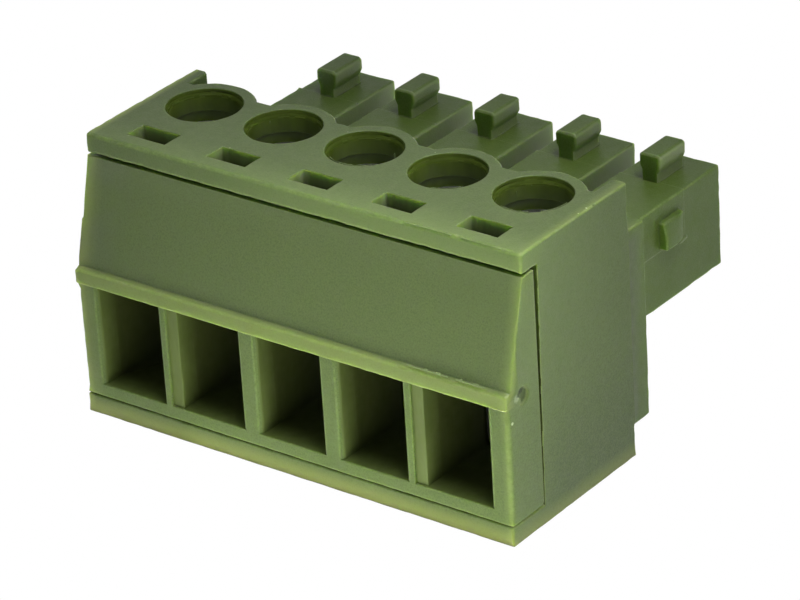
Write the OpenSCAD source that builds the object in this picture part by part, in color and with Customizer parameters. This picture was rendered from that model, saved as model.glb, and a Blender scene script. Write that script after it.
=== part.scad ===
// Pluggable screw terminal block, one row of poles, rising cage clamps.
// X runs along the row of poles, +Y is the way the plug goes into its header,
// Z is up. The origin lies on the base, under the middle of the screw axes.
// Lengths are millimetres.

/* [Poles] */
// Number of poles in the row
poles = 5; // [2:1:12]
// Distance from one pole to the next
pitch = 3.81; // [3.81:0.01:5.08]
// Plastic outside the outer poles' half pitch, on each side
end_margin = 0.5; // [0.5:0.05:1.2]

/* [Housing] */
// Thickness of the base plate
base_t = 0.8; // [0.6:0.05:0.85]
// Reach of the base plate, and of the front cover that stands on it, before the screw axes
base_front = 5.45; // [5.3:0.05:6]
// Thickness of the top plate
plate_t = 0.84; // [0.6:0.02:1]
// Reach of the top plate in front of the screw axes
plate_front = 4.22; // [4:0.02:4.4]
// Rear edge of the top plate between two chimneys
plate_back = 1.28; // [1:0.02:1.6]
// Outer side wall beside the front pocket
side_wall = 0.53; // [0.4:0.01:0.56]
// Thickness of the two ears that end the side walls at the rear
ear_t = 0.63; // [0.4:0.01:0.8]
// Rear face of the body behind the screw axes
body_back = 2.45; // [2.35:0.05:3]
// Depth of the collar that stops the plug at its header
collar_depth = 1.05; // [0.6:0.05:2]
// Underside of the collar above the base
collar_low = 1.27; // [0.8:0.01:3]
// Roof over the clamp chambers, level with the collar's top
roof_t = 0.31; // [0.25:0.01:0.6]
// Step between the side faces and the collar
collar_step = 0.03; // [0.01:0.01:0.1]

/* [Screwdriver holes] */
// Radius of the hole at the top plate and of the screw head's chamber
bore_r = 1.5; // [1.45:0.01:1.6]
// Wall of the chimney round each hole
chimney_wall = 0.5; // [0.4:0.02:0.6]
// Width of the lip that keeps the screw in
lip_w = 0.08; // [0.05:0.01:0.15]
// Depth of the lip's upper edge below the top plate
lip_top = 0.16; // [0.1:0.02:0.3]
// Height of the lip's sloped upper edge
lip_lead = 0.12; // [0.06:0.02:0.16]
// Depth of the lip's lower edge below the top plate
lip_end = 0.92; // [0.6:0.02:1.1]
// Width of each test slot
slot_w = 1.81; // [1:0.01:1.9]
// Length of each test slot from front to rear
slot_d = 0.97; // [0.6:0.01:1.1]
// Rear edge of the test slots in front of the screw axes
slot_back = 2.54; // [2.3:0.02:2.6]

/* [Nose] */
// Underside of the nose above the base
nose_low = 4.46; // [4.3:0.02:5]
// Height of the nose
nose_h = 4.2; // [4:0.05:4.3]
// Length of the nose from the collar to its end
nose_len = 6.5; // [6.2:0.05:8]
// Width of each finger of the nose
finger_w = 2.86; // [2.8:0.01:3.2]
// Wall of the fingers
finger_wall = 0.45; // [0.35:0.01:0.46]
// End wall of the fingers
finger_end = 0.55; // [0.4:0.05:0.8]
// Height of the web that joins the fingers at the bottom
web_h = 0.94; // [0.6:0.02:2]
// Side of the square opening for the header's pin
pin_opening = 1.4; // [1.2:0.05:1.6]
// Bevel round the pin opening
pin_bevel = 0.22; // [0.1:0.02:0.3]
// Height by which the fingers' upper front part stands proud
pad_step = 0.04; // [0.02:0.01:0.1]
// Length of that proud part from the collar
pad_len = 4; // [2:0.1:4.4]
// Height of that proud part from the top down
pad_h = 1.87; // [1:0.05:2.6]

/* [Coding tabs] */
// Length of each tab along the finger
tab_len = 1.8; // [1:0.1:2]
// Distance from the tab to the nose's end
tab_inset = 0.8; // [0.4:0.1:0.8]
// Overall height of the tab
tab_h = 1.14; // [0.9:0.02:1.3]
// Width of the tab's head
tab_head_w = 0.95; // [0.8:0.01:1.2]
// Height of the tab's head
tab_head_h = 0.52; // [0.4:0.02:0.6]
// Height of the neck that narrows from the head to the stem
tab_neck_h = 0.26; // [0.1:0.02:0.3]
// Width of the tab's stem
tab_stem_w = 0.68; // [0.4:0.02:0.76]

/* [Side lugs] */
// Length of the lug on each end finger
lug_len = 1.32; // [0.8:0.02:1.6]
// Height of the lug
lug_h = 1.15; // [0.8:0.05:1.3]
// How far the lug stands out of the finger's side
lug_out = 0.42; // [0.3:0.02:0.6]
// Distance from the collar to the lug
lug_start = 2.25; // [1:0.05:2.6]
// Distance from the nose's top down to the lug
lug_drop = 0.62; // [0.4:0.02:1]

/* [Front cover] */
// Distance of the cover's rear face in front of the screw axes
seam_y = 3.5; // [3.45:0.01:3.55]
// Gap along the seam at its foot
seam_gap = 0.06; // [0.02:0.01:0.1]
// Extra gap that the seam opens to at its top
seam_draft = 0.18; // [0:0.02:0.3]
// How far the lip over the windows stands out
brow_out = 0.1; // [0.05:0.01:0.3]
// Height of the lip over the windows
brow_h = 0.6; // [0.4:0.05:0.8]
// Rise of the lip's top towards the panel
brow_rise = 0.06; // [0.02:0.01:0.2]
// Setback of the sloped panel's foot behind the cover's lower front
panel_back = 0.18; // [0.05:0.01:0.4]
// Gap under the top plate
panel_gap = 0.12; // [0.05:0.01:0.2]
// Setback of the panel's top edge behind the top plate's front
panel_top_back = 0.02; // [0:0.01:0.2]
// Width of each wire window
window_w = 2.9; // [2.4:0.02:2.96]
// Height of each wire window
window_h = 4.2; // [3.6:0.05:4.25]
// Height of the sill above the base
sill_z = 1.38; // [1.2:0.02:1.45]
// Bevel along the windows' upright edges
window_bevel = 0.14; // [0.05:0.01:0.2]
// Width of the shallow step beside some windows
step_w = 0.5; // [0.3:0.01:0.6]
// Depth of that step
step_d = 0.12; // [0.05:0.01:0.3]
// Roof of the plug that the cover sends into the housing
plug_roof = 0.6; // [0.4:0.05:0.8]
// Width of the cover's snap tongues
tongue_w = 0.9; // [0.6:0.05:1.1]
// Height of the snap tongues
tongue_h = 0.7; // [0.5:0.05:0.8]
// Length of the snap tongues behind the cover
tongue_len = 1.1; // [0.8:0.05:1.2]
// Height of the barb on each tongue
barb_h = 0.12; // [0.05:0.01:0.15]
// Distance from the plug's roof up to the tongues
tongue_rise = 1.8; // [1:0.1:2.4]

/* [Gate mark] */
// Radius of the dish round the gate on the cover's right side
gate_r = 0.42; // [0.36:0.01:0.5]
// Depth of the dish
gate_d = 0.16; // [0.05:0.01:0.25]
// Radius of the gate's stub
gate_stub_r = 0.2; // [0.14:0.01:0.24]
// Offset of the stub from the dish's middle, towards the lip
gate_stub_out = 0.36; // [0.32:0.01:0.4]
// Height of the dish above the base
gate_z = 5.8; // [4:0.01:6.2]
// Distance of the dish in front of the screw axes
gate_y = 4.48; // [4.3:0.01:4.6]

/* [Clamps] */
// Outer width of the cage
cage_w = 2.9; // [2.8:0.01:2.92]
// Depth of the cage from front to rear
cage_d = 3.2; // [3:0.05:3.25]
// Side walls of the cage
cage_side = 0.45; // [0.4:0.01:0.5]
// Floor of the cage, which grips the wire
cage_floor = 0.8; // [0.6:0.05:0.85]
// Threaded top of the cage
cage_top = 1; // [0.8:0.05:1.1]
// Outer corner radius of the folded cage
cage_round = 0.4; // [0.2:0.05:0.45]
// Clear height for the wire when the clamp is open
wire_room = 2.85; // [2.6:0.05:2.9]
// Travel of the cage from open to closed
cage_travel = 2.4; // [1.8:0.1:2.5]
// Nominal radius of the screw's thread
thread_r = 1; // [0.95:0.01:1.1]
// Radius of the screw's head
head_r = 1.46; // [1.43:0.01:1.47]
// Height of the screw's head
head_h = 0.95; // [0.8:0.05:1.1]
// Depth of the screw's head below the top plate
head_depth = 1.29; // [1.2:0.01:2]
// Width of the screwdriver slot
drive_w = 0.5; // [0.3:0.05:0.6]
// Depth of the screwdriver slot
drive_d = 0.5; // [0.3:0.05:0.6]

/* [Contacts] */
// Thickness of the current bar
bar_t = 0.55; // [0.4:0.05:0.6]
// Thickness of the contact's folded sheet
sheet_t = 0.3; // [0.2:0.02:0.34]
// Length of the channel that the springs grow from
channel_len = 2.4; // [1.6:0.1:2.8]
// Height of the two contact springs
spring_h = 1.5; // [1:0.1:2]
// Gap between the springs where they grip the pin
grip_gap = 0.7; // [0.5:0.05:0.8]
// Gap between the springs at their mouth
mouth_gap = 1.2; // [1:0.05:1.3]

/* [Hidden] */
// One node per piece: two mouldings, then a screw, a cage and a contact per pole

// Clearances: sliding gap round the cage, running gap of the screw,
// gap round what is pushed into the housing, and overrun of a cut
slide_gap = 0.08;
run_gap = 0.04;
push_gap = 0.03;
plug_gap = 0.05;
over = 0.5;

// The row, and the poles whose window has a step on its left
stepped_poles = [2, 5];
half_w = poles * pitch / 2 + end_margin;
function pole_x(i) = (i - (poles + 1) / 2) * pitch;

// Heights, worked up from the nose through the clamp to the top plate
nose_high = nose_low + nose_h;
pin_z = nose_low + nose_h / 2;
bar_low = nose_low + finger_wall + push_gap;
bar_high = bar_low + bar_t;
cage_low = bar_low - wire_room - cage_floor;
cage_roof = bar_high + slide_gap;
cage_high = cage_roof + cage_top;
chamber_top = cage_high + cage_travel + slide_gap;
collar_high = chamber_top + roof_t;
head_low = chamber_top + run_gap;
head_high = head_low + head_h;
top_z = head_high + head_depth;
plate_low = top_z - plate_t;
window_top = sill_z + window_h;
plug_low = base_t + plug_gap;
plug_high = window_top + plug_roof;
pocket_top = plug_high + plug_gap;
tongue_low = plug_high + tongue_rise;

// Depths, in front of (-) and behind (+) the screw axes
chamber_w = cage_w + 2 * slide_gap;
chamber_d = cage_d / 2 + slide_gap;
plug_back = chamber_d + plug_gap;
shell_front = seam_y - seam_gap;
cover_front = base_front;
collar_back = body_back + collar_depth;
nose_end = collar_back + nose_len;
chimney_r = bore_r + chimney_wall;
cavity_w = finger_w - 2 * finger_wall;
cage_inner = cage_w - 2 * cage_side;
bar_w = min(cavity_w, cage_inner) - 2 * push_gap;
cavity_end = nose_end - finger_end;
tab_y = nose_end - tab_inset - tab_len;

// Straight box between two corners
module block(low, high) {
    translate(low) cube(high - low);
}

// Repeats its child at every pole
module each_pole() {
    for (i = [1:poles]) translate([pole_x(i), 0, 0]) children();
}

// Repeats its child midway between neighbouring poles
module each_rib() {
    for (i = [1:poles - 1]) translate([pole_x(i) + pitch / 2, 0, 0]) children();
}

// Extrudes an outline drawn in Y and Z across the row, from -w to w
module across(w) {
    translate([-w, 0, 0]) rotate([90, 0, 90]) linear_extrude(2 * w) children();
}

// Coding tab: a rounded head that narrows to its stem, drawn from the finger's top up
module coding_tab() {
    head_round = tab_head_h / 3;
    head_low = tab_h - tab_head_h;
    corner_x = tab_head_w / 2 - head_round;
    translate([0, tab_y + tab_len, 0]) rotate([90, 0, 0]) linear_extrude(tab_len) {
        for (x = [-corner_x, corner_x])
            translate([x, tab_h - head_round]) circle(head_round, $fn = 32);
        for (side = [-1, 1]) scale([side, 1])
            polygon([[0, -over], [tab_stem_w / 2, -over], [tab_stem_w / 2, head_low - tab_neck_h],
                     [tab_head_w / 2, head_low], [tab_head_w / 2, tab_h - head_round],
                     [corner_x, tab_h - head_round], [corner_x, tab_h], [0, tab_h]]);
    }
}

// Lug on an end finger: square to the collar in front, tapering to the rear and the top
module side_lug() {
    taper = lug_out / 3;
    translate([0, collar_back + lug_start, nose_high - lug_drop - lug_h]) intersection() {
        linear_extrude(lug_h)
            polygon([[-over / 2, 0], [lug_out, 0], [lug_out, lug_len / 2],
                     [lug_out - taper, lug_len], [-over / 2, lug_len]]);
        translate([0, lug_len + over, 0]) rotate([90, 0, 0]) linear_extrude(lug_len + 2 * over)
            polygon([[-over, -over], [lug_out + over, -over], [lug_out + over, lug_h / 2],
                     [lug_out, lug_h / 2], [lug_out - taper / 2, lug_h * 4 / 5],
                     [lug_out - 2 * taper, lug_h + over], [-over, lug_h + over]]);
    }
}

// One finger of the nose with its proud upper part and its coding tab
module finger() {
    block([-finger_w / 2, collar_back - over, nose_low], [finger_w / 2, nose_end, nose_high]);
    block([-finger_w / 2 - pad_step, collar_back - over, nose_high - pad_h],
          [finger_w / 2 + pad_step, collar_back + pad_len, nose_high + pad_step]);
    translate([0, 0, nose_high]) coding_tab();
}

// Outside of the housing
module housing_shell() {
    // Base plate and body, with the drafted front edge along the seam
    across(half_w) polygon([
        [-base_front, 0], [body_back, 0], [body_back, collar_high], [plate_back, collar_high],
        [plate_back, top_z], [-plate_front, top_z], [-plate_front, plate_low],
        [seam_draft - shell_front, plate_low], [-shell_front, base_t], [-base_front, base_t]
    ]);
    // Chimneys round the screwdriver holes
    each_pole() translate([0, 0, collar_high - over])
        cylinder(r = chimney_r, h = top_z - collar_high + over, $fn = 96);
    // Ears that carry the side walls past the chimneys
    for (side = [-1, 1]) scale([side, 1, 1]) translate([0, 0, collar_high - over])
        linear_extrude(top_z - collar_high + over)
            polygon([[half_w, plate_back - over], [half_w, body_back],
                     [half_w - ear_t * 5 / 6, body_back], [half_w - ear_t, body_back - ear_t / 6],
                     [half_w - ear_t, plate_back - over]]);
    // Collar behind the body
    block([collar_step - half_w, body_back - over, collar_low],
          [half_w - collar_step, collar_back, collar_high]);
    // Nose: fingers on a web
    nose_side = pole_x(poles) + finger_w / 2;
    block([-nose_side, collar_back - over, nose_low], [nose_side, nose_end, nose_low + web_h]);
    each_pole() finger();
    for (side = [-1, 1]) scale([side, 1, 1]) translate([nose_side, 0, 0]) side_lug();
}

// Screwdriver hole: open mouth, retaining lip, chamber of the screw's head
module driver_hole() {
    translate([0, 0, top_z - lip_top]) cylinder(r = bore_r, h = lip_top + over, $fn = 96);
    translate([0, 0, top_z - lip_top - lip_lead])
        cylinder(r1 = bore_r - lip_w, r2 = bore_r, h = lip_lead, $fn = 96);
    translate([0, 0, chamber_top - over])
        cylinder(r = bore_r - lip_w, h = top_z - chamber_top + over, $fn = 96);
    translate([0, 0, chamber_top - over])
        cylinder(r = bore_r, h = top_z - lip_end - chamber_top + over, $fn = 96);
}

// Chamber of the cage, open to the front below and to the nose behind
module clamp_chamber() {
    block([-chamber_w / 2, -chamber_d, base_t], [chamber_w / 2, chamber_d, chamber_top]);
    block([-chamber_w / 2, -chamber_d - over, base_t], [chamber_w / 2, 0, pocket_top]);
    block([-cavity_w / 2, 0, nose_low + finger_wall],
          [cavity_w / 2, cavity_end, nose_high - finger_wall]);
}

// Test slot, which opens into the clamp chamber above the cover's plug
module test_slot() {
    block([-slot_w / 2, -slot_back - slot_d, pocket_top - over],
          [slot_w / 2, -slot_back, top_z + over]);
    block([-slot_w / 4, -slot_back - over, pocket_top - over],
          [slot_w / 4, -chamber_d + over, chamber_top]);
}

// Square opening for the header's pin, bevelled outside
module pin_hole() {
    half = pin_opening / 2;
    block([-half, cavity_end - over, pin_z - half], [half, nose_end + over, pin_z + half]);
    translate([0, 0, pin_z]) intersection() {
        linear_extrude(4 * half, center = true) bevel_outline(half);
        rotate([0, 90, 0]) linear_extrude(4 * half, center = true) bevel_outline(half);
    }
}

// Trapezoid that widens towards the end of the nose
module bevel_outline(half) {
    polygon([[-half, nose_end - pin_bevel], [half, nose_end - pin_bevel],
             [half + pin_bevel + over, nose_end + over],
             [-half - pin_bevel - over, nose_end + over]]);
}

// Snap tongue with its barb on top, grown by a gap where it is cut as a pocket
module snap_tongue(gap) {
    nib = tongue_h / 2;
    tip = tongue_len - seam_y + gap;
    catch = tongue_len - seam_y - nib - gap;
    tongue_high = tongue_low + tongue_h + gap;
    across(tongue_w / 2 + gap) polygon([
        [-seam_y - over, tongue_low - gap], [tip, tongue_low - gap],
        [tip, tongue_low + nib + gap], [tip - nib, tongue_high + barb_h],
        [catch, tongue_high + barb_h], [catch, tongue_high], [-seam_y - over, tongue_high]
    ]);
}

// Housing with the nose that plugs into the header
module housing() {
    color("olivedrab") difference() {
        housing_shell();
        each_pole() {
            driver_hole();
            clamp_chamber();
            test_slot();
            pin_hole();
        }
        // Pocket for the cover's plug
        block([side_wall - half_w, -base_front - over, base_t],
              [half_w - side_wall, -chamber_d, pocket_top]);
        each_rib() snap_tongue(plug_gap);
    }
}

// Wire window through the cover and its plug, bevelled along its upright edges
module wire_window() {
    translate([0, 0, sill_z]) linear_extrude(window_h) for (side = [-1, 1]) scale([side, 1])
        polygon([
            [-over, -cover_front - over], [window_w / 2 + window_bevel, -cover_front - over],
            [window_w / 2 + window_bevel, -cover_front], [window_w / 2, window_bevel - cover_front],
            [window_w / 2, over - plug_back], [-over, over - plug_back]
        ]);
}

// Shallow step in the rib on a window's left
module rib_step() {
    block([-window_w / 2 - step_w, -cover_front - over, sill_z],
          [over - window_w / 2, step_d - cover_front, window_top]);
}

// Dish round the moulding gate, with the broken stub left standing in it
module gate_dish() {
    translate([half_w - gate_d, -gate_y, gate_z]) rotate([0, 90, 0]) difference() {
        rotate_extrude($fn = 48) polygon([
            [0, 0], [gate_r * 2 / 3, 0], [gate_r, gate_d], [gate_r, gate_d + over], [0, gate_d + over]
        ]);
        translate([gate_stub_out / 3, -gate_stub_out, -over])
            cylinder(r = gate_stub_r, h = 3 * over, $fn = 32);
    }
}

// Front cover that snaps into the housing
module front_cover() {
    color("olivedrab") difference() {
        union() {
            // Outer shell: lower front, lip and sloped panel
            across(half_w) polygon([
                [-seam_y, plate_low - panel_gap], [-seam_y, plug_low + 2 * plug_gap],
                [-seam_y - 2 * plug_gap, plug_low], [-cover_front, plug_low],
                [-cover_front, window_top],
                [-cover_front - brow_out, window_top], [-cover_front - brow_out, window_top + brow_h],
                [panel_back - cover_front, window_top + brow_h + brow_rise],
                [panel_top_back - plate_front, plate_low - panel_gap]
            ]);
            // Plug between the housing's side walls
            block([side_wall + plug_gap - half_w, -seam_y - over, plug_low],
                  [half_w - side_wall - plug_gap, -plug_back, plug_high]);
            each_rib() snap_tongue(0);
        }
        each_pole() wire_window();
        for (i = stepped_poles) if (i <= poles) translate([pole_x(i), 0, 0]) rib_step();
        gate_dish();
    }
}

// Slotted cheese-head screw that turns in place on the current bar
module screw(i) {
    head_edge = head_h / 8;
    tip_taper = thread_r / 4;
    color("silver") translate([pole_x(i), 0, 0]) difference() {
        rotate_extrude($fn = 96) polygon([
            [0, bar_high], [thread_r - tip_taper, bar_high], [thread_r, bar_high + tip_taper],
            [thread_r, head_low], [head_r, head_low], [head_r, head_high - head_edge],
            [head_r - head_edge, head_high], [0, head_high]
        ]);
        block([-head_r - over, -drive_w / 2, head_high - drive_d],
              [head_r + over, drive_w / 2, head_high + over]);
    }
}

// Section of the folded cage in X and Z
module cage_outline() {
    difference() {
        union() {
            for (x = [-1, 1], z = [cage_low + cage_round, cage_high - cage_round])
                translate([x * (cage_w / 2 - cage_round), z]) circle(cage_round, $fn = 48);
            translate([-cage_w / 2, cage_low + cage_round])
                square([cage_w, cage_high - cage_low - 2 * cage_round]);
            translate([cage_round - cage_w / 2, cage_low])
                square([cage_w - 2 * cage_round, cage_high - cage_low]);
        }
        translate([-cage_inner / 2, cage_low + cage_floor])
            square([cage_inner, cage_roof - cage_low - cage_floor]);
    }
}

// Rising cage with its tapped top and a ribbed floor
module cage(i) {
    groove = cage_floor / 6;
    color("goldenrod") translate([pole_x(i), 0, 0]) difference() {
        translate([0, cage_d / 2, 0]) rotate([90, 0, 0]) linear_extrude(cage_d) cage_outline();
        translate([0, 0, cage_roof - over])
            cylinder(r = thread_r + run_gap, h = cage_top + 2 * over, $fn = 96);
        for (y = [-1, 0, 1]) translate([0, y * cage_d / 4, cage_low + cage_floor])
            rotate([45, 0, 0]) cube([cage_inner, groove, groove], center = true);
    }
}

// One contact spring in plan: leaves the channel, bows in to the grip, flares to the mouth
module spring_outline(start, tip) {
    outer = cavity_w / 2 - push_gap;
    grip_y = start + (tip - start) * 0.65;
    polygon(concat(
        [for (t = [0:0.1:1]) [spring_x(outer - sheet_t, t), start + (grip_y - start) * t]],
        [[mouth_gap / 2, tip], [mouth_gap / 2 + sheet_t, tip]],
        [for (t = [1:-0.1:0]) [spring_x(outer - sheet_t, t) + sheet_t, start + (grip_y - start) * t]]
    ));
}

// Distance of a spring's inner face from the pin's axis, from the channel (0) to the grip (1)
function spring_x(root, t) = grip_gap / 2 + (root - grip_gap / 2) * (1 + cos(180 * t)) / 2;

// Contact: current bar through the cage, channel in the finger, twin springs for the pin
module contact(i) {
    channel_y = chamber_d + cage_side;
    channel_end = channel_y + channel_len;
    spring_tip = cavity_end - slide_gap;
    outer = cavity_w / 2 - push_gap;
    color("gold") translate([pole_x(i), 0, 0]) {
        block([-bar_w / 2, -cage_d / 2, bar_low], [bar_w / 2, channel_end, bar_high]);
        for (side = [-1, 1]) scale([side, 1, 1]) {
            block([outer - sheet_t, channel_y, bar_low],
                  [outer, channel_end, pin_z + spring_h / 2]);
            translate([0, 0, pin_z - spring_h / 2]) linear_extrude(spring_h)
                spring_outline(channel_end - sheet_t, spring_tip);
        }
    }
}

housing();
front_cover();
for (i = [1:poles]) {
    screw(i);
    cage(i);
    contact(i);
}
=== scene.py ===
import math

import bmesh
import bpy
import numpy as np
from mathutils import Matrix, Vector, noise


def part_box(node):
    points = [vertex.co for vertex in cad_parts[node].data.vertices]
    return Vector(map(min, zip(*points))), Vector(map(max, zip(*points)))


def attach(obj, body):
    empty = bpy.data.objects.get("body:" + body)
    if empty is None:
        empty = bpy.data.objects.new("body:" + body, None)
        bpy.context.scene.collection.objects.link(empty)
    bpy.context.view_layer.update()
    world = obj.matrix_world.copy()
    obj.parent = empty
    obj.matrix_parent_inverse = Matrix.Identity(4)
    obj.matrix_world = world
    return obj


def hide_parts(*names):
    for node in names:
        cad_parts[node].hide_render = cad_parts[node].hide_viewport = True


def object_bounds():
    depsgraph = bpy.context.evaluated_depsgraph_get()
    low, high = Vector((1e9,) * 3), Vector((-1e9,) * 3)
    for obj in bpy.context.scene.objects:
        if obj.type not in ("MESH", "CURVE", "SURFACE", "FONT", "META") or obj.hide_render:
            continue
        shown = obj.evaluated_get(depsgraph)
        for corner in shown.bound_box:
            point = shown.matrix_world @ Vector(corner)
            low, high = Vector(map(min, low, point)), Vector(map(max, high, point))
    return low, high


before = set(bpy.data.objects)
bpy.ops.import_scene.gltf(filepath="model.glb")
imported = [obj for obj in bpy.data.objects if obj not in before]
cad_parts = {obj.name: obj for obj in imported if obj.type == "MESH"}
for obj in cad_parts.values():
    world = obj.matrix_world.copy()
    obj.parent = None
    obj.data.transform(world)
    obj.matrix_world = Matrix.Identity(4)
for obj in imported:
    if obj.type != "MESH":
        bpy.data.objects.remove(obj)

MM = 0.001
CAD_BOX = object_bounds()


def box_mm(node):
    return [Vector(corner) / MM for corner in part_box(node)]


# Places on the part, in mm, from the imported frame
POLE_X = [sum(c.x for c in box_mm(f"screw_{i}")) / 2 for i in range(1, 6)]
SIDE = box_mm("housing")[1].x
TOP = box_mm("housing")[1].z
NOSE_END = box_mm("housing")[1].y
FRAME_FRONT = box_mm("housing")[0].y
LIP_FRONT = box_mm("front_cover")[0].y
FOOT_LINE = box_mm("front_cover")[0].z
PANEL_TOP = box_mm("front_cover")[1].z
SCREW_TOP = box_mm("screw_1")[1].z

# Places on it that no box gives, in mm
PLATE_FRONT = -4.22             # front of the top plate
BODY_BACK = 2.45                # back of the body, where the nose starts
HOLE_R = 1.42                   # radius of a driver hole
NOSE_SIDE = POLE_X[-1] + 1.43   # right side of the nose's last finger
PAD_END = NOSE_END - 2.5        # end of the fingers' proud part
GATE_Z = 5.8                    # height of the gate's dish on the cover's side
PANEL_RISE = 0.035              # the panel sits this much closer under the plate

# Camera, solved from corners, holes, slots and windows of the photo
AZIMUTH, ELEVATION, ROLL = (math.radians(a) for a in (38.17, 27.35, -3.58))
AIM_MM = (0.765, 0.561, 4.937)
DISTANCE_MM = 168.8
LENS_MM = 201.8


def add_object(name, data):
    obj = bpy.data.objects.new(name, data)
    bpy.context.scene.collection.objects.link(obj)
    return obj


# ---------------------------------------------------------------- camera
def make_camera():
    right = Vector((math.cos(AZIMUTH), math.sin(AZIMUTH), 0))
    back = Vector((
        math.sin(AZIMUTH) * math.cos(ELEVATION),
        -math.cos(AZIMUTH) * math.cos(ELEVATION),
        math.sin(ELEVATION),
    ))
    up = back.cross(right)
    side = math.cos(ROLL) * right + math.sin(ROLL) * up
    top = math.cos(ROLL) * up - math.sin(ROLL) * right
    place = Vector(AIM_MM) * MM + back * DISTANCE_MM * MM
    camera = bpy.data.cameras.new("camera")
    camera.lens = LENS_MM
    camera.sensor_width = 36
    camera.clip_start = 0.005
    camera.clip_end = 5
    obj = add_object("camera", camera)
    turn = Matrix((side, top, back)).transposed().to_4x4()
    obj.matrix_world = Matrix.Translation(place) @ turn
    bpy.context.scene.camera = obj


# ---------------------------------------------------------------- materials
class Nodes:
    """Short calls for building a node tree."""

    def __init__(self, name):
        self.material = bpy.data.materials.new(name)
        self.material.use_nodes = True
        self.tree = self.material.node_tree
        self.shader = self.tree.nodes["Principled BSDF"]

    def add(self, kind, links=(), **values):
        node = self.tree.nodes.new("ShaderNode" + kind)
        for key, value in values.items():
            setattr(node, key, value)
        for socket, source in dict(links).items():
            self.plug(source, node.inputs[socket])
        return node

    def plug(self, source, socket):
        """Gives a socket another node's output, or a plain value."""
        if hasattr(source, "is_output"):
            self.tree.links.new(source, socket)
        else:
            socket.default_value = source

    @property
    def place(self):
        if not hasattr(self, "_place"):
            self._place = self.add("TexCoord").outputs["Object"]
        return self._place

    @property
    def place_xyz(self):
        return self.add("SeparateXYZ", {0: self.place}).outputs

    @property
    def normal_xyz(self):
        return self.add("SeparateXYZ", {0: self.add("NewGeometry").outputs["Normal"]}).outputs

    def noise(self, scale, detail=3.0, rough=0.5, where=None):
        """Noise from 0 to 1 with scale waves to a metre."""
        links = {"Scale": scale, "Detail": detail, "Roughness": rough}
        links["Vector"] = where or self.place
        return self.add("TexNoise", links).outputs[0]

    def remap(self, value, low, high, to_low=0.0, to_high=1.0):
        links = {"Value": value, "From Min": low, "From Max": high,
                 "To Min": to_low, "To Max": to_high}
        return self.add("MapRange", links).outputs[0]

    def fade(self, place, start, end, to_low=0.0, to_high=1.0):
        """remap for a place, between two places in mm."""
        return self.remap(place, start * MM, end * MM, to_low, to_high)

    def math(self, how, a, b=0.0):
        return self.add("Math", {0: a, 1: b}, operation=how).outputs[0]

    def times(self, product, *others):
        for other in others:
            product = self.math("MULTIPLY", product, other)
        return product

    def size(self, value):
        return self.math("ABSOLUTE", value)

    def mix(self, factor, a, b):
        return self.add("Mix", {0: factor, 6: a, 7: b}, data_type="RGBA").outputs[2]

    def bump(self, height, strength, distance, normal=None):
        links = {"Height": height, "Strength": strength, "Distance": distance}
        if normal is not None:
            links["Normal"] = normal
        return self.add("Bump", links).outputs[0]

    def feed(self, **sources):
        for name, source in sources.items():
            self.plug(source, self.shader.inputs[name.replace("_", " ")])

    def finish_plastic(self, glow, reach, shine):
        """How much light comes through the plastic and how far, in metres, and
        how strong its gloss is. All three are the same all over a piece."""
        self.shader.inputs["Specular IOR Level"].default_value = shine
        self.shader.inputs["Subsurface Weight"].default_value = glow
        self.shader.inputs["Subsurface Radius"].default_value = (0.75, 1.0, 0.35)
        self.shader.inputs["Subsurface Scale"].default_value = reach
        return self.material


def rgb(red, green, blue):
    """Colour from 8-bit sRGB numbers."""
    def linear(v):
        v /= 255
        return v / 12.92 if v <= 0.04045 else ((v + 0.055) / 1.055) ** 2.4
    return (linear(red), linear(green), linear(blue), 1.0)


BODY_GREEN = rgb(94, 113, 60)
PALE_GREEN = rgb(122, 141, 86)
DEEP_GREEN = rgb(84, 103, 52)
GRAIN_DARK = rgb(62, 79, 36)
# pale painted highlight for the rounded edges, broken unevenly like wear
EDGE_WEAR_AND_HIGHLIGHT = rgb(148, 168, 106)
WALL_CLOUD = rgb(58, 70, 20)
PALE_DUST_AND_HIGHLIGHT = rgb(196, 208, 170)
# grey painted shade for the screws' slots
SLOT_SHADE_GREY = rgb(110, 108, 100)
GLOW_REACH = 0.0009         # how far light goes in the outer plastic, m
WALL_REACH = 0.0002         # the same in the walls of holes

# Noise, in waves to a metre, from wide clouds of colour to the mould's grain
CLOUD, WAVE, SHEEN, WEAR, DUST, GRAIN = 180, 700, 2500, 5000, 9000, 17000


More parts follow.
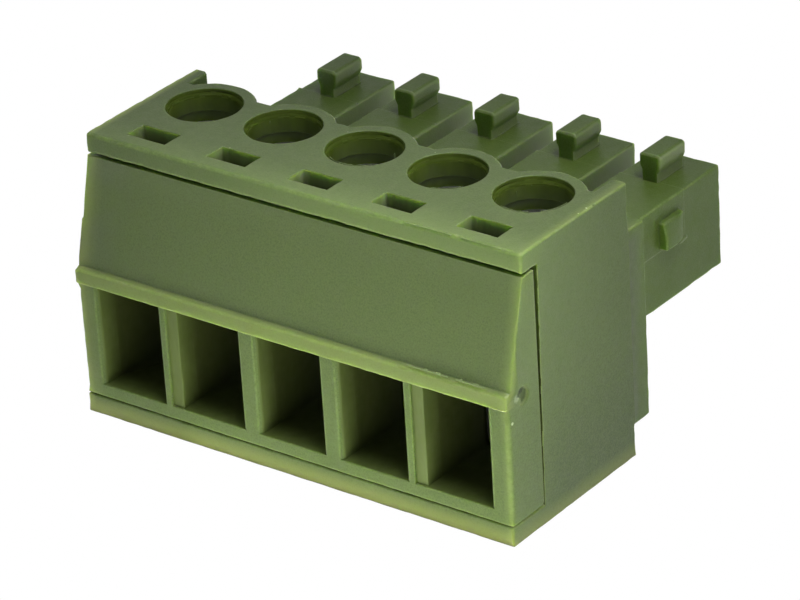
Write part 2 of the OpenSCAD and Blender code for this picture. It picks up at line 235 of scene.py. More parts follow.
def plastic_material(name, zones, specks_and_painted_spots=(), glow=1.0):
    """Olive green polyamide, satin from a fine spark-eroded mould.

    zones(n) gives pairs of a 0 to 1 mask and the colour it blends in, mostly painted
    light and shade; specks_and_painted_spots are places, radii and colours of dust and burnt
    grains, in mm, and on the cover also a painted shadow in the gate's dish and a painted
    highlight on its stub; glow is the share of light that goes in and comes out again. Convex
    rounded edges get a pale painted highlight, broken unevenly like wear."""
    n = Nodes(name)
    cloud = n.remap(n.noise(CLOUD), 0.3, 0.7)
    grain = n.noise(GRAIN, 2, 0.6)
    colour = n.mix(n.times(cloud, 0.35), BODY_GREEN, DEEP_GREEN)
    for mask, tint in zones(n):
        colour = n.mix(mask, colour, tint)
    colour = n.mix(n.remap(grain, 0.35, 0.75, 0.0, 0.4), colour, PALE_GREEN)
    colour = n.mix(n.remap(grain, 0.5, 0.25, 0.0, 0.2), colour, GRAIN_DARK)
    # painted highlight on the convex rounded edges, broken unevenly like wear
    edge = n.add("Attribute", attribute_name="edge").outputs["Fac"]
    worn_broken_highlight = n.remap(n.noise(WEAR, 4, 0.7), 0.35, 0.7, 0.0, 0.45)
    colour = n.mix(n.times(edge, worn_broken_highlight), colour, EDGE_WEAR_AND_HIGHLIGHT)
    for place, radius, tint in specks_and_painted_spots:
        away = n.add("VectorMath", {0: n.place, 1: Vector(place) * MM},
                     operation="DISTANCE").outputs["Value"]
        ragged = n.math("ADD", away, n.remap(n.noise(DUST), 0, 1, 0, radius * 0.6 * MM))
        colour = n.mix(n.fade(ragged, radius * 1.3, radius * 0.8), colour, tint)
    fine = n.bump(grain, 0.6, 0.00002)
    n.feed(
        Base_Color=colour,
        Roughness=n.remap(n.noise(SHEEN, 2), 0.3, 0.7, 0.40, 0.52),
        Normal=n.bump(n.noise(WAVE, 2), 0.10, 0.0001, fine),
    )
    return n.finish_plastic(glow, GLOW_REACH, 0.5)


def deep_plastic(name, near, far, rough, axis, span, glow=0.4, reach=WALL_REACH, shine=0.35):
    """Walls of holes and tunnels, which smooth core pins left glossy. Their
    colour goes from near to far over a span, in mm, along an axis, as a painted shade that is
    mostly darker deeper in, with painted light at the slots' tops; glow, reach and shine are as
    in finish_plastic."""
    n = Nodes(name)
    streaks = n.add("Mapping", {"Vector": n.place, "Scale": (1, 1, 0.25)}).outputs[0]
    cloud = n.remap(n.noise(1500, 3, 0.6, streaks), 0.35, 0.7, 0.0, 0.35)
    tone = n.mix(n.fade(n.place_xyz[axis], *span), near, far)
    n.feed(
        Base_Color=n.mix(cloud, tone, WALL_CLOUD),
        Roughness=n.remap(n.noise(2400), 0.3, 0.7, rough, rough + 0.2),
        Normal=n.bump(n.noise(1900, 3, 0.6, streaks), 0.35, 0.00004),
    )
    return n.finish_plastic(glow, reach, shine)


def band(n, place, low, high, soft=0.03):
    """1 between two places in mm, fading out over a short way."""
    return n.times(n.fade(place, low - soft, low), n.fade(place, high + soft, high))


def side_zones(n, x, y, z, normal):
    """Sides: painted light, paler towards the top and the front, and painted shade,
    darker low down. The rims get a yellower painted glow of light shining through from behind."""
    sideways = n.remap(n.size(normal[0]), 0.7, 0.95)
    rim = n.times(n.math("SUBTRACT", 1.0, sideways),
                  n.fade(n.size(x), SIDE - 0.4, SIDE - 0.05))
    rim = n.math("MAXIMUM", rim, n.fade(y, NOSE_END - 0.2, NOSE_END - 0.04))
    painted_top_light = n.times(n.fade(z, 3.5, 9.5), n.fade(y, 1.5, -3.5))
    # painted shade low down at the front
    dull = n.times(n.fade(z, 5.0, 2.0), n.fade(y, -4.5, -2.0))
    return (
        (n.times(sideways, dull, 0.7), rgb(76, 94, 48)),
        (n.times(sideways, painted_top_light, 0.65), rgb(122, 142, 90)),
        (n.times(rim, n.fade(x, -8, 8, 0.95, 0.35)), rgb(164, 178, 104)),
    )


def housing_zones(n):
    """Painted light and shade: a stronger painted green on the nose, painted light on the
    fingers' sides in the gaps, a painted glow on the foot, which the table shines through,
    painted light on the top plate's front and painted shade on that front's left end, and
    painted highlights along the edges of the fingers' proud part."""
    x, y, z = n.place_xyz
    normal = n.normal_xyz
    # painted glow on the foot, where the table shines through
    foot = n.times(n.fade(z, 0.75, 0.1, 0.0, 0.95),
                   n.remap(normal[2], -0.6, -0.3),
                   n.remap(n.size(normal[0]), 0.3, 0.9, 1.0, 0.5))
    over_panel = n.fade(z, PANEL_TOP - 0.1, PANEL_TOP)
    # painted light on the top plate's front, brighter to the right
    plate = n.times(n.fade(y, -2.4, -4.2, 0.0, 0.65), over_panel,
                    n.fade(x, -10, 4, 0.5, 1.0))
    painted_left_end_shade = n.times(n.fade(y, PLATE_FRONT + 0.2, PLATE_FRONT + 0.05), over_panel,
                   n.fade(x, 1, -8, 0.0, 0.6))
    # painted light, a stronger green on the nose
    nose = n.fade(y, 2.2, 4.0, 0.0, 0.6)
    painted_gap_light = n.times(n.remap(normal[0], 0.6, 0.9), n.fade(x, 8.6, 8.4),
                    n.times(nose, n.fade(z, 5, 6)))
    # painted highlight along the edges of the fingers' proud part
    across = n.times(band(n, y, PAD_END - 0.02, PAD_END + 0.02), n.fade(z, 6.75, 6.85))
    along = n.times(band(n, z, 6.77, 6.81), band(n, y, 3.6, PAD_END))
    lines = n.times(n.math("MAXIMUM", across, along), 0.5)
    return side_zones(n, x, y, z, normal) + (
        (nose, rgb(98, 128, 14)),
        (painted_gap_light, rgb(176, 190, 144)),
        (foot, rgb(162, 174, 90)),
        (plate, rgb(126, 147, 84)),
        (painted_left_end_shade, rgb(84, 102, 52)),
        (lines, rgb(150, 170, 116)),
    )


def cover_zones(n):
    """Painted light: a painted glow on the thin lip over the windows and on the posts, a
    lighter painted tone on the sloped panel's front, and a painted glow on the panel's
    ends and the left end, which light shines through."""
    x, y, z = n.place_xyz
    normal = n.normal_xyz
    front = n.fade(y, FRAME_FRONT + 0.5, FRAME_FRONT + 0.15)
    # painted glow on the thin lip
    lip = n.times(front, band(n, z, 5.65, 6.18, 0.08))
    # painted glow on the thin posts
    posts = n.times(front, n.fade(z, 5.7, 5.6))
    # painted light on the panel's front
    panel = n.times(n.fade(z, 6.24, 6.34), n.remap(normal[1], -0.5, -0.8))
    painted_end_glow = n.fade(n.size(x), SIDE - 0.55, SIDE - 0.1)
    painted_left_glow = n.times(n.fade(x, 0.9 - SIDE, 0.1 - SIDE),
                       n.remap(n.size(normal[0]), 0.9, 0.6))
    return side_zones(n, x, y, z, normal) + (
        (n.times(lip, 0.85), rgb(130, 144, 78)),
        (n.times(posts, 0.15), rgb(104, 124, 50)),
        (n.times(panel, 0.75), rgb(100, 118, 66)),
        (n.times(panel, painted_end_glow, n.fade(x, -8, 8, 0.8, 0.5)), rgb(138, 156, 86)),
        (n.times(painted_left_glow, 0.6), rgb(146, 162, 88)),
    )


def flash_and_glint_zones(_):
    """Flash and torn plastic are paler all over; the same pale colour makes the crumbs on the
    holes' walls show as painted glints.
    """
    return ((1.0, rgb(120, 140, 84)),)


def painted_slot_shade(n):
    """The screw's slot, darkened with painted shade and made rougher."""
    place = n.place_xyz
    return n.times(n.fade(n.size(place["Y"]), 0.27, 0.25),
                   n.fade(place["Z"], SCREW_TOP - 0.02, SCREW_TOP - 0.12))


def metal_material(name, colour, rough, shaded_places=None):
    """Plated steel or bronze sheet; shaded_places(n) is a 0 to 1 mask of places given a painted
    shade and more roughness.
    """
    n = Nodes(name)
    grain = n.noise(4200, 4, 0.6)
    dull = tuple(c * 0.72 for c in colour[:3]) + (1.0,)
    tone = n.mix(n.remap(n.noise(900), 0.35, 0.7, 0.0, 0.6), colour, dull)
    rough = n.remap(grain, 0.3, 0.7, rough - 0.06, rough + 0.10)
    if shaded_places:
        mask = shaded_places(n)
        tone = n.mix(mask, tone, SLOT_SHADE_GREY)
        rough = n.math("ADD", rough, n.times(mask, 0.25))
    n.feed(
        Base_Color=tone,
        Roughness=rough,
        Normal=n.bump(grain, 0.3, 0.00001),
        Metallic=1.0,
    )
    return n.material


# ---------------------------------------------------------------- rounded edges
WIDEST = 0.22                   # widest rounding, mm
STEP = 0.3                      # spacing of points along a rounded edge, mm
SHARP = math.radians(24)        # an edge with a smaller angle isn't rounded
NEAR_STRAIGHT = math.cos(math.radians(35))
ROOM_SHARE = 0.42               # share of a face or edge that a rounding takes
ROUNDED = 1                     # material index that marks the rounded faces
LIP_END = 0.4                   # length of the lip's faded right end, mm
EDGE_SINK, LIP_SINK = 0.035, 0.05       # how far edges sink in, mm


def inward_reach(face, edge, outline):
    """Least distance from an edge, inwards across its face, to a facing edge."""
    a, b = (v.co for v in edge.verts)
    along = (b - a).normalized()
    inward = face.normal.cross(along)
    loop = next(l for l in edge.link_loops if l.face == face)
    if (loop.link_loop_next.vert.co - loop.vert.co).dot(along) < 0:
        inward = -inward
    starts, ends = outline
    e1, e2 = np.array(along), np.array(inward)
    best = 1000.0
    for share in (0.12, 0.5, 0.88):
        origin = np.array(a.lerp(b, share))
        p = np.stack([(starts - origin) @ e1, (starts - origin) @ e2], 1)
        q = np.stack([(ends - origin) @ e1, (ends - origin) @ e2], 1)
        cross = (p[:, 0] <= 0) != (q[:, 0] <= 0)
        if not cross.any():
            continue
        p, q = p[cross], q[cross]
        hit = -p[:, 0] / (q[:, 0] - p[:, 0])
        reach = p[:, 1] + hit * (q[:, 1] - p[:, 1])
        reach = reach[reach > 0.002]
        if len(reach):
            best = min(best, float(reach.min()))
    return best


def middle(edge):
    return (edge.verts[0].co + edge.verts[1].co) / 2


def is_sharp(edge):
    return len(edge.link_faces) == 2 and edge.calc_face_angle(0) > SHARP


def clear_seams(bm):
    for edge in bm.edges:
        edge.seam = False


def join_flat_faces(bm, cuts):
    """Joins the CAD's triangles into flat faces. The cuts go through the holes,
    so that no flat face runs round one."""
    bmesh.ops.remove_doubles(bm, verts=bm.verts, dist=0.001)
    clear_seams(bm)
    for point, normal in cuts:
        cut = bmesh.ops.bisect_plane(
            bm, geom=bm.verts[:] + bm.edges[:] + bm.faces[:], dist=0.0005,
            plane_co=point, plane_no=normal,
        )
        for part in cut["geom_cut"]:
            if isinstance(part, bmesh.types.BMEdge):
                part.seam = True
    bmesh.ops.dissolve_limit(
        bm, angle_limit=math.radians(0.5), verts=bm.verts, edges=bm.edges,
        delimit={"NORMAL", "SEAM"},
    )
    clear_seams(bm)
    bm.normal_update()


def split_long_edges(bm, hollow):
    """Puts points along the long sharp edges in sight, which sink_edges moves."""
    for edge in [e for e in bm.edges if e.calc_length() > 2 * STEP]:
        if is_sharp(edge) and not hollow(middle(edge)):
            vert = edge.verts[0]
            for left in range(int(edge.calc_length() / STEP), 1, -1):
                vert = bmesh.utils.edge_split(edge, vert, 1 / left)[1]


def weigh_edges(bm, width, hollow):
    """Gives each sharp edge the rounding it has room for, as a bevel weight."""
    layer = bm.edges.layers.float.get("bevel_weight_edge")
    if layer is None:
        layer = bm.edges.layers.float.new("bevel_weight_edge")
    outlines = {}
    for face in bm.faces:
        starts = np.array([l.vert.co for l in face.loops])
        ends = np.array([l.link_loop_next.vert.co for l in face.loops])
        outlines[face] = (starts, ends)
    widths = {}
    for edge in filter(is_sharp, bm.edges):
        place = middle(edge)
        want = width(place)
        if hollow(place):
            if not edge.is_convex:
                continue
            want *= 0.4
        elif not edge.is_convex:
            want *= 0.5
        room = min(inward_reach(f, edge, outlines[f]) for f in edge.link_faces)
        widths[edge] = min(want, room * ROOM_SHARE)
    for vert in bm.verts:
        for edge in [e for e in vert.link_edges if e in widths]:
            d1 = (edge.other_vert(vert).co - vert.co).normalized()
            for other in vert.link_edges:
                if other is edge:
                    continue
                d2 = (other.other_vert(vert).co - vert.co).normalized()
                if d1.dot(d2) > -NEAR_STRAIGHT:
                    widths[edge] = min(widths[edge], other.calc_length() * ROOM_SHARE)
    for edge, value in widths.items():
        edge[layer] = value / WIDEST


def rounded_copy(node, name, width, hollow, cuts):
    """Copy of a CAD node whose edges are rounded as a moulding's are.

    width(place) is the wanted rounding in mm; an edge gets less where a narrow
    face or a short neighbouring edge leaves no room for it. Edges that
    hollow() says lie out of sight stay plainer."""
    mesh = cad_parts[node].data.copy()
    mesh.name = name
    bm = bmesh.new()
    bm.from_mesh(mesh)
    bmesh.ops.scale(bm, vec=(1 / MM,) * 3, verts=bm.verts)
    join_flat_faces(bm, cuts)
    split_long_edges(bm, hollow)
    weigh_edges(bm, width, hollow)
    for face in bm.faces:
        face.material_index = 0
    bm.to_mesh(mesh)
    bm.free()
    mesh.materials.clear()
    for _ in (0, ROUNDED):      # a slot for plain faces and one for rounded ones
        mesh.materials.append(None)
    obj = add_object(name, mesh)
    bevel = obj.modifiers.new("edges", "BEVEL")
    bevel.material = ROUNDED
    bevel.limit_method = "WEIGHT"
    bevel.width = WIDEST
    bevel.segments = 3
    bevel.profile = 0.5
    bevel.use_clamp_overlap = False
    bevel.miter_outer = "MITER_SHARP"
    settle(obj)
    sink_edges(obj.data, width)
    for polygon in obj.data.polygons:
        polygon.use_smooth = True
    weighted = obj.modifiers.new("normals", "WEIGHTED_NORMAL")
    weighted.weight = 50
    weighted.keep_sharp = False
    settle(obj)
    obj.data.transform(Matrix.Scale(MM, 4))
    return obj


def at_seam(y):
    """Where the side walls' front edge, which leans back, meets the cover."""
    return -3.6 < y < -3.2


def sink_edges(mesh, width):
    """Lets the rounded edges sink in unevenly, the lip's right end fade and the
    seam's edges waver, and marks the convex rounded edges for the material's painted highlight."""
    bm = bmesh.new()
    bm.from_mesh(mesh)
    bm.normal_update()
    layer = bm.verts.layers.float.new("edge")
    for vert in bm.verts:
        x, y, z = vert.co
        if y < FRAME_FRONT - 0.005 and x > SIDE - LIP_END:
            faded = 0.6 * (y - FRAME_FRONT)
            vert.co.y -= faded * ((x - SIDE + LIP_END) / LIP_END) ** 2
        elif abs(x) > SIDE - 0.1 and at_seam(y) and FOOT_LINE < z < PANEL_TOP:
            vert.co.y += 0.05 * noise.noise(Vector((y * 9, 0, z * 2.6)))
        # convex rounded edges are marked for a painted highlight
        if all(face.material_index == ROUNDED for face in vert.link_faces):
            if all(edge.is_convex or edge.calc_face_angle(0) < 0.02 for edge in vert.link_edges):
                vert[layer] = 1.0
            uneven = noise.noise(vert.co * 2.1) + 0.7 * noise.noise(vert.co * 6.3)
            on_lip = y < FRAME_FRONT - 0.02 and z > 6.2
            most = min(0.5 * width(vert.co), LIP_SINK if on_lip else EDGE_SINK)
            vert.co -= vert.normal * max(0.0, uneven + 0.15) * most
    bm.to_mesh(mesh)
    bm.free()


def settle(obj):
    """Applies the modifiers, so that the piece is one plain mesh."""
    graph = bpy.context.evaluated_depsgraph_get()
    mesh = bpy.data.meshes.new_from_object(obj.evaluated_get(graph), depsgraph=graph)
    obj.modifiers.clear()
    obj.data = mesh


def dress(obj, *materials):
    obj.data.materials.clear()
    for material in materials:
        obj.data.materials.append(material)


# ---------------------------------------------------------------- stage
def make_floor():
    """Pale table that the camera sees as white and the part as light grey."""
    half = 0.6
    mesh = bpy.data.meshes.new("floor")
    bm = bmesh.new()
    corners = [(-half, -half), (half, -half), (half, half), (-half, half)]
    bm.faces.new([bm.verts.new((x, y, CAD_BOX[0][2] - 0.00001)) for x, y in corners])
    bm.to_mesh(mesh)
    bm.free()
    floor = add_object("floor", mesh)
    n = Nodes("floor")
    path = n.add("LightPath")
    seen = n.math("MAXIMUM", path.outputs["Is Camera Ray"],
                  n.times(path.outputs["Is Glossy Ray"], 0.75))
    seen = n.math("MAXIMUM", seen, path.outputs["Is Transmission Ray"])
    n.feed(Base_Color=(0.8, 0.8, 0.8, 1.0), Roughness=0.9)
    white = n.add("Emission", {"Color": (1, 1, 1, 1), "Strength": 1.0})
    choose = n.add("MixShader", {0: seen, 1: n.shader.outputs[0], 2: white.outputs[0]})
    out = n.tree.nodes["Material Output"]
    n.tree.links.new(choose.outputs[0], out.inputs["Surface"])
    dress(floor, n.material)


def make_world():
    """White for the camera, half white in gloss, and a faint light all round."""
    world = bpy.data.worlds.new("world")
    bpy.context.scene.world = world
    world.use_nodes = True
    tree = world.node_tree
    background = tree.nodes["Background"]
    background.inputs["Color"].default_value = (1, 1, 1, 1)
    path = tree.nodes.new("ShaderNodeLightPath")
    strength = None
    for ray, level in (("Is Camera Ray", 1.0), ("Is Transmission Ray", 1.0),
                       ("Is Glossy Ray", 0.5)):
        part = tree.nodes.new("ShaderNodeMath")
        part.operation = "MULTIPLY"
        part.inputs[1].default_value = level
        tree.links.new(path.outputs[ray], part.inputs[0])
        most = tree.nodes.new("ShaderNodeMath")
        most.operation = "MAXIMUM"
        most.inputs[1].default_value = 0.10
        tree.links.new(part.outputs[0], most.inputs[0])
        if strength is not None:
            tree.links.new(strength, most.inputs[1])
        strength = most.outputs[0]
    tree.links.new(strength, background.inputs["Strength"])
    bpy.context.scene.view_settings.view_transform = "Standard"


def lamp(name, place_mm, size_mm, watts, target_mm, spread_deg=180):
    """Soft box, wide and high as given, that faces the target."""
    light = bpy.data.lights.new(name, "AREA")
    light.shape = "RECTANGLE"
    light.size, light.size_y = (side * MM for side in size_mm)
    light.energy = watts
    light.spread = math.radians(spread_deg)
    obj = add_object(name, light)
    place = Vector(place_mm) * MM
    aim = Vector(target_mm) * MM - place
    obj.rotation_mode = "QUATERNION"
    obj.rotation_quaternion = aim.to_track_quat("-Z", "Y")
    obj.location = place
    return obj


def table_glow(name, span_x, span_y, radiance):
    """Light that the white table throws back up, from a stretch, in mm, beside
    the part."""
    size = (span_x[1] - span_x[0], span_y[1] - span_y[0])
    x, y = (sum(span_x) / 2, sum(span_y) / 2)
    watts = radiance * math.pi * size[0] * size[1] * MM * MM
    glow = lamp(name, (x, y, -0.005), size, watts, (x, y, 20))
    glow.visible_camera = False
    glow.visible_glossy = False


# ---------------------------------------------------------------- small flaws
FLASH = 0.02            # half the width of flash at its root, mm
RIM_Z = TOP - 0.03      # height of the flash on the top plate's edges
LIP_FLASH_Z = 6.32      # height of the flash on the lip


def lump(bm, place, size, seed):
    """Small irregular crumb."""
    made = bmesh.ops.create_icosphere(bm, subdivisions=2, radius=1.0)["verts"]
    for vert in made:
        grow = 1 + 0.45 * noise.noise(vert.co * 1.7 + Vector((seed, 0, 0)))
        vert.co = Vector(place) + Vector(a * b for a, b in zip(vert.co * grow, size))


def fringe(bm, path, out, height, seed):
    """Thin ragged flash along a path, standing out from it."""
    out = Vector(out).normalized()
    path = [Vector(p) for p in path]
    rings = []
    for start, end in zip(path, path[1:]):
        count = max(2, int((end - start).length / 0.05))
        along = (end - start).normalized()
        side = along.cross(out) * FLASH
        for k in range(count):
            base = start.lerp(end, k / count)
            uneven = noise.noise(base * 5 + Vector((seed, 0, 0))) + 0.35
            tip = base + out * height * max(0.12, uneven * 1.3)
            rings.append([bm.verts.new(p) for p in (
                base - out * FLASH + side, base - out * FLASH - side, tip)])
    for one, two in zip(rings, rings[1:]):
        for k in range(3):
            bm.faces.new((one[k], one[(k + 1) % 3], two[(k + 1) % 3], two[k]))
    bm.faces.new(rings[0])
    bm.faces.new(rings[-1][::-1])


def flaw_piece(name, lumps, fringes, material):
    """One piece of crumbs, as places and sizes, and of flash, as paths,
    directions and heights, kept inside the CAD box."""
    bm = bmesh.new()
    for seed, (place, size) in enumerate(lumps):
        lump(bm, place, size, seed * 3.7)
    for seed, (path, out, height) in enumerate(fringes):
        fringe(bm, path, out, height, seed * 5.3)
    bmesh.ops.recalc_face_normals(bm, faces=bm.faces)
    for vert in bm.verts:
        vert.co = (min(vert.co.x, SIDE), max(vert.co.y, LIP_FRONT), min(vert.co.z, TOP))
    bmesh.ops.scale(bm, vec=(MM,) * 3, verts=bm.verts)
    for face in bm.faces:
        face.smooth = True
    mesh = bpy.data.meshes.new(name)
    bm.to_mesh(mesh)
    bm.free()
    obj = add_object(name, mesh)
    dress(obj, material)
    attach(obj, "block")


def hole_wall_glint(pole, dx, y, depth, size):
    """Crumb on the wall of a driver hole, higher than wide, that the pale flash colour turns
    into a painted glint.
    """
    return (POLE_X[pole - 1] + dx, y, TOP - depth), (size, size, size * 2.5)


def rim(pole, start_deg, end_deg):
    """Path along a driver hole's rim; 0 degrees is +X."""
    angles = [math.radians(start_deg + (end_deg - start_deg) * k / 6) for k in range(7)]
    return [(POLE_X[pole - 1] + HOLE_R * math.cos(a), HOLE_R * math.sin(a), RIM_Z)
            for a in angles]


def plate_flash(start_x, end_x):
    path = [(x, PLATE_FRONT + 0.04, RIM_Z) for x in (start_x, end_x)]
    return path, (0, -1, 0.3), 0.04


def lip_flash(start_x, end_x):
    path = [(x, LIP_FRONT + 0.08, LIP_FLASH_Z) for x in (start_x, end_x)]
    return path, (0, -0.4, 1), 0.02


# ---------------------------------------------------------------- regions
WALL_INSIDE = SIDE - 0.4        # a little inside the side walls' outer faces
CUT_TOP = TOP - 0.04            # holes keep the plate's look above this height


def from_pole(x):
    return min(abs(x - pole) for pole in POLE_X)


def in_pocket(point):
    """Inside the chambers and the pocket behind the cover."""
    x, y, z = point
    in_chamber = from_pole(x) < 1.6 and abs(y) < 1.72 and z < 9.2
    return in_chamber or (abs(x) < WALL_INSIDE and -5.4 < y < -1.6 and 0.7 < z < 9.4)


def housing_hollow(point):
    """In the pocket, or inside the fingers, where nothing looks in."""
    x, y, z = point
    in_finger = from_pole(x) < 1.0 and 0 < y < NOSE_END - 0.4 and 4.8 < z < 8.3
    return in_finger or in_pocket(point)


def cover_hollow(point):
    """Behind the windows' front."""
    return point.y > -4.4


def in_bore(point):
    x, y, z = point
    return math.hypot(from_pole(x), y) < 1.54 and 9.1 < z < CUT_TOP


def in_slot(point):
    x, y, z = point
    return from_pole(x) < 0.93 and -3.53 < y < -2.52 and 9.4 < z < CUT_TOP


def in_tunnel(point):
    x, y, z = point
    return y > FRAME_FRONT + 0.1 and z < 5.7 and abs(x) < SIDE - 0.3


def housing_width(point):
    """Rounding of the housing's edges at a point, in mm."""
    x, y, z = point
    near = from_pole(x)
    if z < 0.2:                                                     # the foot
        return 0.05
    if abs(y - BODY_BACK) < 0.02 and abs(x) < SIDE - 0.01 and z < 9:    # fingers' roots
        return 0.0
    if z > TOP - 0.1 and (math.hypot(near, y) < 1.6 or (near < 0.95 and -3.6 < y < -2.5)):
        return 0.03                                                 # holes and slots
    if abs(x) > SIDE - 0.3 and at_seam(y) and z < PANEL_TOP:        # the seam
        return 0.04
    if y < -1.6 and (abs(z - FOOT_LINE) < 0.03 or abs(z - PANEL_TOP) < 0.1):
        return 0.03                                                 # lines by the cover
    return 0.18 if y < PLATE_FRONT + 0.05 and z > PANEL_TOP else 0.10   # plate, the rest


def cover_width(point):
    """Rounding of the cover's edges at a point, in mm."""
    x, y, z = point
    if abs(x) > SIDE - 0.3 and FRAME_FRONT + 0.2 < y < -3.7 and 0.9 < z < 8:
        return 0.0                                                  # flat sides
    if y > -3.7:                                                    # the seam
        return 0.04
    if z < FOOT_LINE + 0.05:                                        # lower line
        return 0.04
    if z > PANEL_TOP - 0.05:                                        # upper line
        return 0.02
    if abs(x) > SIDE - 0.02:                                        # outer corners
        return WIDEST
    return 0.10 if z > 5.8 else 0.06                                # lip, windows


# Order of the materials on the two mouldings
PLAIN, BORE, POCKET, SLOT, SEAM, LEDGE = range(6)


def housing_look(place, normal):
    if in_bore(place) and place.z > TOP - 0.4 and normal.z > 0.25:
        return LEDGE
    if abs(place.x) > SIDE - 0.6 and at_seam(place.y) and normal.y < -0.9:
        return SEAM
    for look, inside in ((BORE, in_bore), (POCKET, in_pocket), (SLOT, in_slot)):
        if inside(place):
            return look
    return PLAIN


# ---------------------------------------------------------------- build
make_camera()
make_floor()
make_world()
lamp("key", (22, -11, 58), (34, 34), 0.0066, (6, -17, 8), 52)
table_glow("front", (-5, 80), (-70, -5.7), 2.0)
table_glow("right", (10.3, 80), (-5.7, 50), 0.32)
table_glow("near", (-16, -5), (-8.5, -5.7), 1.2)
table_glow("left", (-80, -10.3), (-3, 50), 2.0)
table_glow("back", (-10, 10), (10.3, 80), 1.0)

top_specks = (
    ((SIDE - 0.1, -0.5, TOP), 0.04, PALE_DUST_AND_HIGHLIGHT), ((SIDE - 0.1, 0, TOP), 0.05, PALE_DUST_AND_HIGHLIGHT),
    ((2.5, 1.0, TOP), 0.03, PALE_DUST_AND_HIGHLIGHT), ((5.2, -0.3, TOP), 0.03, PALE_DUST_AND_HIGHLIGHT),
    ((-1.4, 0.8, TOP), 0.03, PALE_DUST_AND_HIGHLIGHT), ((-4.4, -2.5, TOP), 0.03, PALE_DUST_AND_HIGHLIGHT),
    ((6.1, 0.6, TOP), 0.04, rgb(50, 60, 26)),
)
side_specks_and_painted_light = (
    # painted shadow in the gate's dish, under its upper rim
    ((SIDE - 0.1, -4.42, GATE_Z + 0.14), 0.17, rgb(66, 80, 42)),
    ((SIDE, -4.88, GATE_Z + 0.06), 0.2, rgb(146, 164, 120)),
    # a pale painted highlight on the gate's stub, then a speck of real dust
    ((SIDE, -4.84, GATE_Z + 0.15), 0.04, PALE_DUST_AND_HIGHLIGHT), ((SIDE, -5.2, 5.0), 0.08, PALE_DUST_AND_HIGHLIGHT),
)
plastic = plastic_material("housing_plastic", housing_zones, top_specks)
cover_plastic = plastic_material("cover_plastic", cover_zones, side_specks_and_painted_light)
# painted shade, darker deeper down the driver holes
bore_plastic = deep_plastic(
    "bore_plastic", rgb(106, 127, 42), rgb(78, 96, 24), rough=0.32,
    axis="Z", span=(TOP - 0.05, TOP - 0.9), glow=0.7)
# painted shade, darker deeper in the tunnels behind the windows
pocket_plastic = deep_plastic(
    "pocket_plastic", rgb(104, 120, 62), rgb(72, 80, 38), rough=0.45,
    axis="Y", span=(FRAME_FRONT + 0.1, FRAME_FRONT + 1.2))
# painted shade on the faces in the seam, darkest low down
seam_plastic = deep_plastic(
    "seam_plastic", rgb(52, 64, 22), rgb(88, 104, 52), rough=0.5,
    axis="Z", span=(PANEL_TOP - 5, PANEL_TOP), glow=1.0, reach=GLOW_REACH)
# painted shade that darkens the holes' lit sloped ledges
ledge_plastic = deep_plastic(
    "ledge_plastic", rgb(80, 98, 32), rgb(80, 98, 32), rough=0.6,
    axis="Z", span=(TOP - 0.3, TOP - 0.1), shine=0.1)
# painted light at the top of the test slots, going to painted shade deeper down
slot_plastic = deep_plastic(
    "slot_plastic", rgb(158, 176, 120), rgb(66, 82, 36), rough=0.5,
    axis="Z", span=(TOP - 0.15, TOP - 0.9), glow=1.0, reach=GLOW_REACH, shine=0.06)
# pale flash colour, also used for painted glints on the holes' walls
flash_and_glint_plastic = plastic_material("flash_and_glint_plastic", flash_and_glint_zones, glow=0.0)
screw_metal = metal_material("screw_steel", rgb(190, 191, 192), 0.34, painted_slot_shade)
cage_metal = metal_material("cage_steel", rgb(196, 196, 194), 0.38)
contact_metal = metal_material("contact_metal", rgb(204, 198, 182), 0.30)

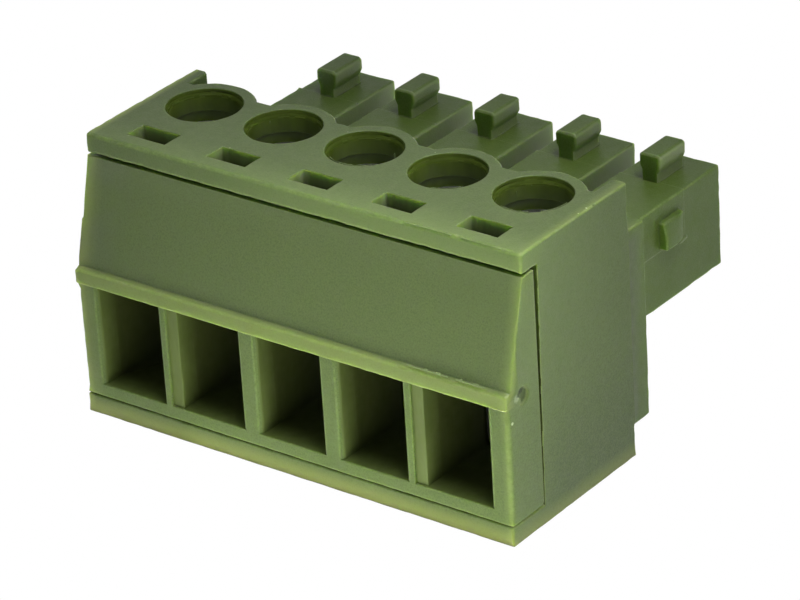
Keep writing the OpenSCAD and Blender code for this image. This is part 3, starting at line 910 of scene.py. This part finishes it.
flaw_piece("housing_flaws_and_glints", [
    ((NOSE_SIDE + 0.12, 7.1, 6.78), (0.16, 0.34, 0.10)),
    ((SIDE - 0.05, 0.4, TOP - 0.03), (0.05, 0.10, 0.03)),
    # pale crumbs on the holes' walls: painted glints
    hole_wall_glint(5, -1.27, 0.67, 0.55, 0.03), hole_wall_glint(5, -1.12, 0.93, 0.45, 0.03),
    hole_wall_glint(5, -0.9, 1.13, 0.35, 0.03), hole_wall_glint(2, -1.25, 0.7, 0.4, 0.03),
    hole_wall_glint(3, 0.3, 1.41, 0.85, 0.06),
], [
    (rim(5, -110, -60), (0.1, 1, 0), 0.05),
    (rim(5, -45, 5), (-1, 0.3, 0), 0.04),
    (rim(3, -120, -40), (0, 1, 0), 0.05),
    (rim(4, -80, -30), (-0.3, 1, 0), 0.03),
    plate_flash(4.9, 7.0),
    plate_flash(7.4, 9.2),
], flash_and_glint_plastic)
flaw_piece("cover_flaws", [
    ((SIDE - 0.07, -4.86, GATE_Z + 0.06), (0.05, 0.13, 0.16)),
    ((6.5, LIP_FRONT + 0.07, 6.35), (0.07, 0.04, 0.04)),
    ((7.05, LIP_FRONT + 0.07, 6.36), (0.10, 0.04, 0.04)),
    ((8.05, LIP_FRONT + 0.08, 6.36), (0.05, 0.04, 0.04)),
    ((8.7, LIP_FRONT + 0.08, 6.35), (0.12, 0.04, 0.03)),
], [
    lip_flash(5.7, 7.5),
    lip_flash(7.8, 9.1),
], flash_and_glint_plastic)

rib_x = [(a + b) / 2 for a, b in zip(POLE_X, POLE_X[1:])]
row_cuts = [((x, 0, 0), (1, 0, 0)) for x in POLE_X + rib_x]
dish_cuts = [((0, 0, GATE_Z), (0, 0, 1)), ((0, -4.48, 0), (0, 1, 0))]
housing = rounded_copy("housing", "housing_body", housing_width, housing_hollow, row_cuts)
cover = rounded_copy("front_cover", "cover_body", cover_width, cover_hollow,
                     row_cuts + dish_cuts)
for vert in cover.data.vertices:
    if vert.co.z > (PANEL_TOP - 0.005) * MM:
        vert.co.z += PANEL_RISE * MM
for piece, node, look in ((housing, "housing", plastic), (cover, "front_cover", cover_plastic)):
    dress(piece, look, bore_plastic, pocket_plastic, slot_plastic, seam_plastic, ledge_plastic)
    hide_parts(node)
    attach(piece, "block")
for polygon in housing.data.polygons:
    polygon.material_index = housing_look(polygon.center / MM, polygon.normal)
for polygon in cover.data.polygons:
    polygon.material_index = POCKET if in_tunnel(polygon.center / MM) else PLAIN
for i in range(1, len(POLE_X) + 1):
    dress(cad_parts[f"screw_{i}"], screw_metal)
    dress(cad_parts[f"cage_{i}"], cage_metal)
    dress(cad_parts[f"contact_{i}"], contact_metal)
